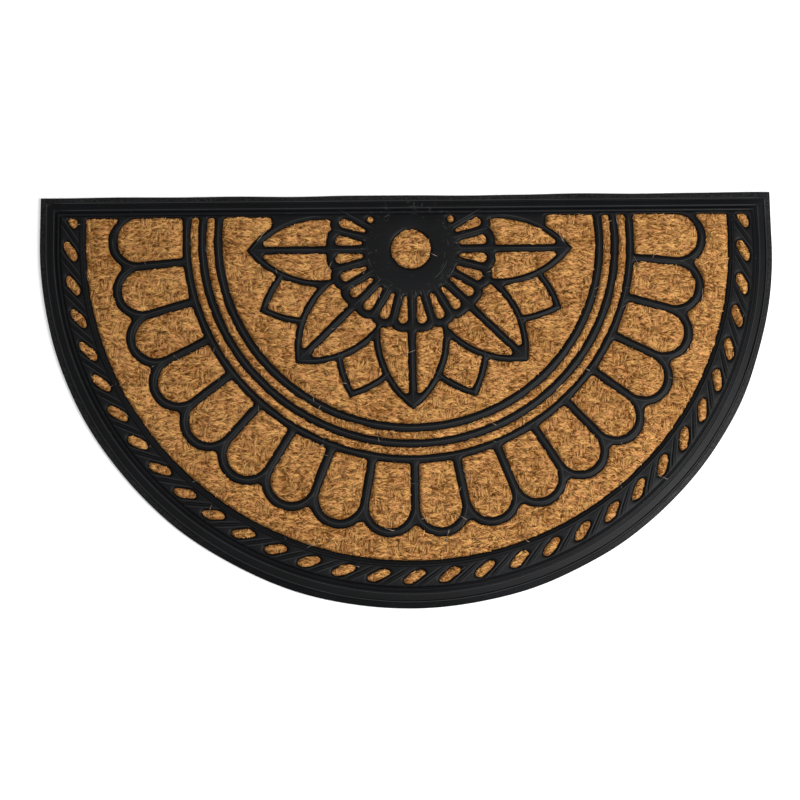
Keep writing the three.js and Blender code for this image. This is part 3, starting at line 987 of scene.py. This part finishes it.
def long_points(distance, count, seed):
    """Long thin fibres that lie on top of the coir."""
    rng = np.random.default_rng(seed)
    spots = rng.uniform(*STREWN_AREA, (count * 3, 2))
    spots = spots[sampled(distance, spots) < -LONG_MARGIN][:count]
    x, y = spots.T
    upright = math.pi / 2
    turn = rng.normal(0, LONG_TURN_SPREAD, len(x)) + upright * (rng.random(len(x)) < LONG_UPRIGHT_CHANCE)
    length = np.minimum(rng.uniform(*LONG_LENGTHS, len(x)), 1.8 * -sampled(distance, spots) + 2)
    height = LONG_HEIGHT + rng.uniform(0, 0.3, len(x))
    tilt = rng.normal(0, TILT_SPREAD, len(x))
    return np.stack([x, y, height, turn, tilt, length, rng.uniform(*LONG_SHADES, len(x))], 1)


def carrier_mesh(name, points, edges, numbers):
    """A mesh of points and edges that carries some numbers at every point, for a geometry tree."""
    mesh = bpy.data.meshes.new(name)
    mesh.from_pydata(in_metres(points), edges, [])
    for key, values in numbers.items():
        mesh.attributes.new(key, "FLOAT", "POINT").data.foreach_set("value", values)
    return mesh


def points_mesh(name, rows):
    """Loose points that carry each strand's turn, tilt, length and shade, in metres and radians."""
    turn, tilt, length, shade = rows[:, 3:].T
    numbers = {"turn": turn, "tilt": tilt, "long": length / METRE, "tone": shade}
    return carrier_mesh(name, rows[:, :3], [], numbers)


def coir_mesh(distance, pitch):
    """The coir panel as one closed mesh: a flat sheet that stands up in every opening."""
    shell = Shell()
    rim_top = shell.add(half_round(SHEET_INSET), SHEET_TOP)
    rim_low = shell.add(half_round(SHEET_INSET), SHEET_UNDERSIDE)
    edges = [respaced(loop, finest=0.7, widest=2.0, sagitta=0.04) for loop in contours(distance, -LIP_GAP)]
    feet = [shell.add(loop, SHEET_TOP) for loop in edges]
    lips = [shell.add(loop, LIP_HEIGHT) for loop in edges]
    shell.band(rim_low, rim_top)
    shell.fill([rim_top, *feet], lambda spots: SHEET_TOP)
    shell.fill([rim_low], None, False)
    for foot, lip in zip(feet, lips):
        shell.band(foot, lip)
    across = np.arange(-SURFACE_REACH, SURFACE_REACH + 1, pitch)
    x, y = np.meshgrid(across, np.arange(-SURFACE_REACH, SURFACE_TOP, pitch))
    grid = np.stack([x.ravel(), y.ravel()], 1)
    grid = grid + np.random.default_rng(SURFACE_SEED).uniform(-0.25, 0.25, grid.shape) * pitch
    inward = -sampled(distance, grid)
    grid, inward = grid[inward > SURFACE_MARGIN], inward[inward > SURFACE_MARGIN]
    height = SURFACE_HEIGHT + soft_noise(*grid.T, COIR_NOISE) - 0.3 * np.exp(-inward / 1.2)
    shell.fill(lips, None, True, [shell.add(grid, height)])
    return shell.mesh("coir_sheet")


@lru_cache(maxsize=1)
def pattern():
    """The distance to the openings' rounded edges, worked out once."""
    x, y = np.meshgrid(GRID_X, GRID_Y)
    distance = rounded_field(opening_field())
    for layer in EDGE_NOISE:
        distance += soft_noise(x, y, layer)
    return distance


def lines_mesh(name, lines):
    """Open lines of points with a girth at each, for the tree that sweeps a profile along them."""
    edges, first = [], 0
    for line, _ in lines:
        edges += [(k, k + 1) for k in range(first, first + len(line) - 1)]
        first += len(line)
    points, girths = [np.concatenate(parts) for parts in zip(*lines)]
    return carrier_mesh(name, points, edges, {"girth": girths})


def level_line(points, height):
    """A line at one height, and a girth at each point that shrinks at its ends."""
    count = len(points)
    girth = [min(1.0, 0.25 + 0.4 * min(k, count - 1 - k)) for k in range(count)]
    return np.column_stack([points, np.full(count, height)]), girth


def new_tree(name, inputs):
    """A geometry tree with named inputs: its graph and a wire from each input."""
    tree = bpy.data.node_groups.new(name, "GeometryNodeTree")
    for key, kind in {"Geometry": "Geometry", **inputs, "Material": "Material"}.items():
        tree.interface.new_socket(key, in_out="INPUT", socket_type="NodeSocket" + kind)
    tree.interface.new_socket("Geometry", in_out="OUTPUT", socket_type="NodeSocketGeometry")
    graph = Graph(tree)
    return graph, [Wire(graph, socket) for socket in graph.node("NodeGroupInput").outputs[:-1]]


def sweep_tree():
    """Geometry nodes that sweep an oval along every line."""
    graph, given = new_tree("raised_line", {"Width": "Float", "Height": "Float"})
    lines, width, height, finish = given
    girth = graph.step("InputNamedAttribute", Name="girth")
    curve = graph.step("MeshToCurve", Mesh=lines)
    curve = graph.wire("GeometryNodeSetCurveNormal", {"mode": "Z_UP"}, {"Curve": curve})
    circle = graph.step("CurvePrimitiveCircle", Resolution=8, Radius=0.5)
    oval = graph.step("Transform", Geometry=circle, Scale=graph.vector(width, height * 2, 1.0))
    swept = graph.step("CurveToMesh", Curve=curve, Profile_Curve=oval, Scale=girth, Fill_Caps=True)
    real = graph.step("RealizeInstances", Geometry=swept)
    done = graph.step("SetMaterial", Geometry=real, Material=finish)
    graph.node("NodeGroupOutput", None, {"Geometry": done})
    return graph.tree


def strand_tree():
    """Geometry nodes that lay a short bent strand at every point, by the point's own turn and length."""
    inputs = {"Width": "Float", "Arch": "Float", "Sway": "Float", "Seed": "Int"}
    graph, given = new_tree("loose_strands", inputs)
    points, width, arch, sway, seed, finish = given

    def named(name):
        return graph.step("InputNamedAttribute", Name=name)

    def chance(low, high, salt):
        """A random number for each strand."""
        sockets = {2: low, 3: high, 8: seed + salt}
        return graph.wire("FunctionNodeRandomValue", {"data_type": "FLOAT"}, sockets, 1)

    girth = width * chance(*STRAND_GIRTHS, 1)
    line = graph.step("CurvePrimitiveLine", Start=(-0.5, 0, 0), End=(0.5, 0, 0))
    line = graph.step("ResampleCurve", Curve=line, Count=4)
    share = graph.wire("GeometryNodeSplineParameter", None, None, "Factor")
    bow = 4 * share * (1 - share)
    circle = graph.step("CurvePrimitiveCircle", Resolution=3, Radius=0.5)
    kinds = graph.node("GeometryNodeGeometryToInstance")
    for side in STRAND_BENDS:
        offset = graph.vector(0.0, (bow - MEAN_BOW) * side * sway, (bow - ARCH_BASE) * arch)
        bent = graph.step("SetPosition", Geometry=line, Offset=offset)
        tube = graph.step("CurveToMesh", Curve=bent, Profile_Curve=circle, Scale=bow**0.5, Fill_Caps=False)
        graph.connect(kinds, {0: graph.step("MergeByDistance", Geometry=tube, Distance=0.001)})
    last = len(STRAND_BENDS) - 1
    pick = graph.wire("FunctionNodeRandomValue", {"data_type": "INT"}, {4: 0, 5: last, 8: seed}, 2)
    laid = graph.step(
        "InstanceOnPoints", Points=points, Instance=Wire(graph, kinds.outputs[0]), Pick_Instance=True,
        Instance_Index=pick, Scale=graph.vector(named("long"), girth, girth),
        Rotation=graph.vector(chance(-STRAND_ROLL, STRAND_ROLL, 2), named("tilt"), named("turn")))
    laid = graph.wire("GeometryNodeStoreNamedAttribute", {"data_type": "FLOAT", "domain": "INSTANCE"}, {
        "Geometry": laid, "Name": "shade", "Value": named("tone")})
    real = graph.step("RealizeInstances", Geometry=laid)
    real = graph.step("SetShadeSmooth", Geometry=real, Shade_Smooth=True)
    done = graph.step("SetMaterial", Geometry=real, Material=finish)
    graph.node("NodeGroupOutput", None, {"Geometry": done})
    return graph.tree


def made_by(tree, mesh, name, values):
    """Runs a geometry tree on a mesh and returns its result as a plain object."""
    carrier = shown(name + "_source", mesh)
    modifier = carrier.modifiers.new(tree.name, "NODES")
    modifier.node_group = tree
    identifiers = {item.name: item.identifier for item in tree.interface.items_tree if item.in_out == "INPUT"}
    for key, value in values.items():
        modifier[identifiers[key]] = value
    graph = bpy.context.evaluated_depsgraph_get()
    done = bpy.data.meshes.new_from_object(carrier.evaluated_get(graph))
    carrier.modifiers.remove(modifier)
    bpy.data.objects.remove(carrier)
    done.name = name
    if not done.polygons:
        raise RuntimeError(f"{name} came out empty")
    return shown(name, done)


def straight_line(stations):
    return np.stack([stations, np.zeros(len(stations))], 1)


def crest_lines():
    """Fine lines along the middle of the ribs, and one arc on the hub."""
    lines = []
    for radius in ARC_CRESTS:
        rise = math.asin(WINDOW_TOP / radius)
        lines.append(arc_points(0, 0, radius, math.pi - rise, 2 * math.pi + rise, 160))
    for index in range(PANEL_COUNT - 1):
        lines.append(turned(straight_line(PANEL_CREST), math.pi + (index + 0.5) * PANEL_PITCH))
    for index in range(PANEL_COUNT):
        start = -SCALLOP_TURN if index else -END_SCALLOP_TURN
        end = SCALLOP_TURN if index < PANEL_COUNT - 1 else END_SCALLOP_TURN
        arc = arc_points(PANEL_END_CENTRE, 0, PANEL_END_RADIUS + PANEL_RIB / 2, start, end, 24)
        lines.append(turned(arc, math.pi + index * PANEL_PITCH))
    for index in range(2 * LARGE_PETAL_COUNT - 1):
        angle = math.pi + index * PETAL_PITCH / 2
        shape = SMALL_PETAL if index % 2 else LARGE_PETAL
        offset = petal_offset(shape)
        radius = shape["bulge"] - PETAL_RIB / 2
        low = math.acos(math.sqrt(radius**2 - offset**2) / radius)
        high = math.acos((shape["crest_foot"] - shape["middle"]) / radius)
        for side in (1, -1):
            arc = arc_points(shape["middle"], -offset, radius, low, high, 16) * (1, side)
            lines.append(turned(arc, angle, *PETAL_PLACE))
        if index % 2 == 0:
            lines.append(turned(straight_line(MIDRIB_CREST), angle, *PETAL_PLACE))
    for index in range(RAY_COUNT + 1):
        angle = math.pi + (index - 2) * RAY_PITCH
        lines.append(turned(straight_line(RAY_CREST), angle, *HUB_PLACE))
    lines.append(arc_points(*HUB_PLACE, *HUB_ARC, 16))
    return [level_line(line, CREST_HEIGHT) for line in lines]


def rim_lines():
    """Fine ridges along the edges of the rim's flat band."""
    lines = []
    start = ARC_STEPS + SIDE_STEPS
    for inset, height in RIM_LINES:
        loop = half_round(inset)
        lines.append(level_line(loop[start:start + EDGE_STEPS], height))
        lines.append(level_line(np.concatenate([loop[start + EDGE_STEPS:], loop[:start + 1]]), height))
    return lines


def slanting_lines(half_depth, shifts, height):
    """Slanting lines between each pair of rope openings, moved along the border by each shift."""
    lean = half_depth / math.tan(STRAND_SLOPE)
    line = np.stack([np.linspace(-lean, lean, 9), np.linspace(-half_depth, half_depth, 9)], 1)
    numbers = range(-ROPE_COUNT_EACH_WAY, ROPE_COUNT_EACH_WAY)
    middles = [ROPE_SHIFT + (number + 0.5) * ROPE_PITCH for number in numbers]
    return [level_line(on_rope(line, middle + shift), height) for middle in middles for shift in shifts]


def bead_line():
    """The bead between the rope border and the outer field."""
    arc = arc_points(0, 0, BEAD_RADIUS, math.pi, 2 * math.pi, 200)
    rise = np.linspace(0, WINDOW_TOP, 6)[1:]
    left = np.stack([np.full(5, -BEAD_RADIUS), rise[::-1]], 1)
    right = np.stack([np.full(5, BEAD_RADIUS), rise], 1)
    return [level_line(np.concatenate([left, arc, right]), CREST_HEIGHT)]


def length_setting(name, description, default):
    return FloatProperty(name=name, description=description, default=default, unit="LENGTH")


def colour_setting(name, description, default):
    return FloatVectorProperty(
        name=name, description=description, subtype="COLOR", default=default, min=0, max=1)


class DoormatRubber(bpy.types.PropertyGroup):
    """Sizes and colour of the rubber moulding."""
    colour: colour_setting("Colour", "Base colour of the rubber", (0.0015, 0.0017, 0.0023))
    strand_width: length_setting("Strand width", "Width of a raised strand of the rope border", 0.0026)
    bead_width: length_setting("Bead width", "Width of the bead inside the rope border", 0.003)
    crest_width: length_setting("Crest width", "Width of the fine line along a rib", 0.0011)
    raised_height: length_setting(
        "Raised height", "How far the strands and the bead stand above the grille", 0.00075)
    # Painted highlight: how much paler the fine ridges are drawn.
    highlight_lift: FloatProperty(
        name="Highlight", description="How much paler the rubber is along its fine ridges", default=0.018)


class DoormatCoir(bpy.types.PropertyGroup):
    """Sizes and colours of the coir."""
    dark: colour_setting("Dark coir", "Colour of the deepest coir", (0.2, 0.06, 0.003))
    light: colour_setting("Light coir", "Colour of the palest strands", (0.745, 0.41, 0.131))
    strand_width: length_setting("Strand width", "Usual width of a loose strand", 0.0009)
    strands_each: IntProperty(
        name="Strands in a bundle", description="Number of strands in one bundle of the weave", default=18)
    filling: IntProperty(
        name="Filling strands", description="Number of strands under and between the bundles", default=23000)
    pitch: FloatProperty(
        name="Surface pitch", default=1.9,
        description="Distance between the corners of the coir's surface, in millimetres")
    seed: IntProperty(name="Seed", description="Start of the strands' random places", default=5)


class DoormatStage(bpy.types.PropertyGroup):
    """Camera, floor and light."""
    lens: FloatProperty(name="Lens", description="Focal length in millimetres", default=80.7)
    floor_colour: colour_setting("Floor colour", "Colour of the plain floor", (0.97, 0.97, 0.97))
    light_power: FloatProperty(
        name="Light power", description="Power of the large soft light", default=21.5, unit="POWER")


class DOORMAT_OT_rubber(bpy.types.Operator):
    """Make the rubber moulding in place of its solid"""
    bl_idname = "doormat.rubber"
    bl_label = "Rubber moulding"

    def execute(self, context):
        finish = rubber_material("moulded_rubber", context.scene.doormat_rubber.colour, 0)
        rubber = shown("rubber_top", rubber_mesh(pattern()), finish)
        rubber.data.shade_smooth()
        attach(rubber, "root")
        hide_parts("rubber_moulding")
        return {"FINISHED"}


class DOORMAT_OT_raised_lines(bpy.types.Operator):
    """Sweep the rope strands, the bead and the crest lines of the ribs"""
    bl_idname = "doormat.raised_lines"
    bl_label = "Raised lines"

    def execute(self, context):
        sizes = context.scene.doormat_rubber
        finish = bpy.data.materials["moulded_rubber"]
        painted_highlight = rubber_material("highlit_rubber", sizes.colour, sizes.highlight_lift)
        tree = sweep_tree()
        strands = slanting_lines(STRAND_HALF_DEPTH, (0,), CREST_HEIGHT)
        ropes = slanting_lines(ROPE_LINE_HALF_DEPTH, ROPE_LINE_SHIFTS, ROPE_LINE_HEIGHT)
        crest = sizes.crest_width
        # The crest, rope and rim lines are drawn in paler rubber, a painted highlight.
        kinds = (("rope_strands", strands, sizes.strand_width, sizes.raised_height, finish),
                 ("bead", bead_line(), sizes.bead_width, sizes.raised_height, finish),
                 ("crest_lines", crest_lines(), crest, crest * 0.2, painted_highlight),
                 ("rope_lines", ropes, crest, crest * 0.3, painted_highlight),
                 ("rim_lines", rim_lines(), crest, crest * 0.3, painted_highlight))
        for name, lines, width, height, look in kinds:
            values = {"Width": width, "Height": height, "Material": look}
            made = made_by(tree, lines_mesh(name, lines), name, values)
            made.data.shade_smooth()
            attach(made, "root")
        return {"FINISHED"}


class DOORMAT_OT_coir(bpy.types.Operator):
    """Make the coir panel in place of its solid"""
    bl_idname = "doormat.coir"
    bl_label = "Coir panel"

    def execute(self, context):
        sizes = context.scene.doormat_coir
        mesh = coir_mesh(pattern(), sizes.pitch)
        mesh.shade_smooth()
        # Painted shade: the ground is drawn darker than the strands.
        light = [SHADED_GROUND_SHARE * c for c in sizes.light]
        finish = coir_material("coir_ground", GROUND_DARK, light, 0)
        coir = shown("coir_sheet", mesh, finish)
        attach(coir, "root")
        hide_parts("coir_panel")
        return {"FINISHED"}


class DOORMAT_OT_strands(bpy.types.Operator):
    """Scatter loose strands over the coir"""
    bl_idname = "doormat.strands"
    bl_label = "Coir strands"

    def execute(self, context):
        sizes = context.scene.doormat_coir
        finish = coir_material("coir_strands", sizes.dark, sizes.light, SHADE_SPREAD)
        tree = strand_tree()
        rows = strand_points(pattern(), sizes.strands_each, sizes.filling, sizes.seed)
        usual = {"Width": sizes.strand_width, "Arch": 0.5, "Sway": 1.4, "Material": finish}
        layers = {f"strand_layer_{layer + 1}": (rows[layer::4], usual) for layer in range(4)}
        pale = coir_material("pale_fibre", PALE_DARK, PALE_LIGHT, SHADE_SPREAD)
        stray = {**usual, "Width": 0.0001, "Arch": 2.5, "Sway": 9.0, "Material": pale}
        curly = {**usual, "Width": 0.0004, "Arch": 0.8, "Sway": 5.0}
        layers["long_fibres"] = (long_points(pattern(), LONG_COUNT, sizes.seed + 2), curly)
        layers["stray_fibres"] = (stray_points(pattern(), STRAY_COUNT, sizes.seed + 1), stray)
        for name, (points, values) in layers.items():
            layer = made_by(tree, points_mesh(name, points), name, {**values, "Seed": sizes.seed})
            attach(layer, "root")
        return {"FINISHED"}


class DOORMAT_OT_stage(bpy.types.Operator):
    """Set the camera, the floor and the soft light"""
    bl_idname = "doormat.stage"
    bl_label = "Camera, floor and light"

    def execute(self, context):
        sizes = context.scene.doormat_stage
        data = bpy.data.cameras.new("camera")
        data.lens = sizes.lens
        data.sensor_width = 36
        data.clip_end = CLIP_END
        camera = bpy.data.objects.new("camera", data)
        camera.location = CAMERA_PLACE
        camera.rotation_euler = [math.radians(angle) for angle in CAMERA_TURN]
        context.scene.collection.objects.link(camera)
        context.scene.camera = camera

        made, graph, shader, place = material("pale_floor")
        pale = sizes.floor_colour
        base = graph.blend(graph.noise(place, scale=3), (*pale, 1), (*[c * 0.985 for c in pale], 1))
        graph.connect(shader, {
            "Base Color": base, "Roughness": 0.9, "Emission Color": WHITE, "Emission Strength": FLOOR_GLOW})
        signs = ((-1, -1), (1, -1), (1, 1), (-1, 1))
        corners = [(x * FLOOR_REACH, y * FLOOR_REACH, FLOOR_HEIGHT) for x, y in signs]
        mesh = bpy.data.meshes.new("floor")
        mesh.from_pydata(corners, [], [(0, 1, 2, 3)])
        shown("floor", mesh, made)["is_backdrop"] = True

        lamp = bpy.data.lights.new("soft_light", "AREA")
        lamp.shape = "RECTANGLE"
        lamp.size = lamp.size_y = LIGHT_SIZE
        lamp.energy = sizes.light_power
        light = bpy.data.objects.new("soft_light", lamp)
        light.location = LIGHT_PLACE
        light.rotation_euler = Vector(light.location).to_track_quat("Z", "Y").to_euler()
        context.scene.collection.objects.link(light)

        world = bpy.data.worlds.new("soft_room")
        world.use_nodes = True
        graph = Graph(world.node_tree)
        *_, up = graph.axes(graph.wire("ShaderNodeTexCoord", None, None, "Generated"))
        glow = SKY_LOW + SKY_GAIN * up.ramp(*SKY_RISE)
        graph.connect(world.node_tree.nodes["Background"], {"Color": WHITE, "Strength": glow})
        context.scene.world = world
        context.scene.view_settings.view_transform = "Standard"
        return {"FINISHED"}


class DOORMAT_PT_panel(bpy.types.Panel):
    """The doormat's settings and steps"""
    bl_label = "Doormat"
    bl_idname = "DOORMAT_PT_panel"
    bl_space_type = "VIEW_3D"
    bl_region_type = "UI"
    bl_category = "Doormat"

    def draw(self, context):
        for group in (context.scene.doormat_rubber, context.scene.doormat_coir, context.scene.doormat_stage):
            box = self.layout.box()
            for name in group.bl_rna.properties.keys():
                if name not in ("rna_type", "name"):
                    box.prop(group, name)
        for step in STEPS:
            self.layout.operator(step.bl_idname)


STEPS = (DOORMAT_OT_rubber, DOORMAT_OT_raised_lines, DOORMAT_OT_coir, DOORMAT_OT_strands, DOORMAT_OT_stage)
GROUPS = {"doormat_rubber": DoormatRubber, "doormat_coir": DoormatCoir, "doormat_stage": DoormatStage}


def register():
    for kind in (*GROUPS.values(), *STEPS, DOORMAT_PT_panel):
        bpy.utils.register_class(kind)
    for name, kind in GROUPS.items():
        setattr(bpy.types.Scene, name, PointerProperty(type=kind))


def unregister():
    for name in GROUPS:
        delattr(bpy.types.Scene, name)
    for kind in (DOORMAT_PT_panel, *reversed(STEPS), *reversed(GROUPS.values())):
        bpy.utils.unregister_class(kind)


def main():
    register()
    bpy.ops.doormat.rubber()
    bpy.ops.doormat.raised_lines()
    bpy.ops.doormat.coir()
    bpy.ops.doormat.strands()
    bpy.ops.doormat.stage()
    boxes = {"cad": CAD_BOX, "visual": [list(corner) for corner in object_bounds()]}
    boxes = {key: [[float(v) for v in corner] for corner in box] for key, box in boxes.items()}


if __name__ == "__main__":
    main()
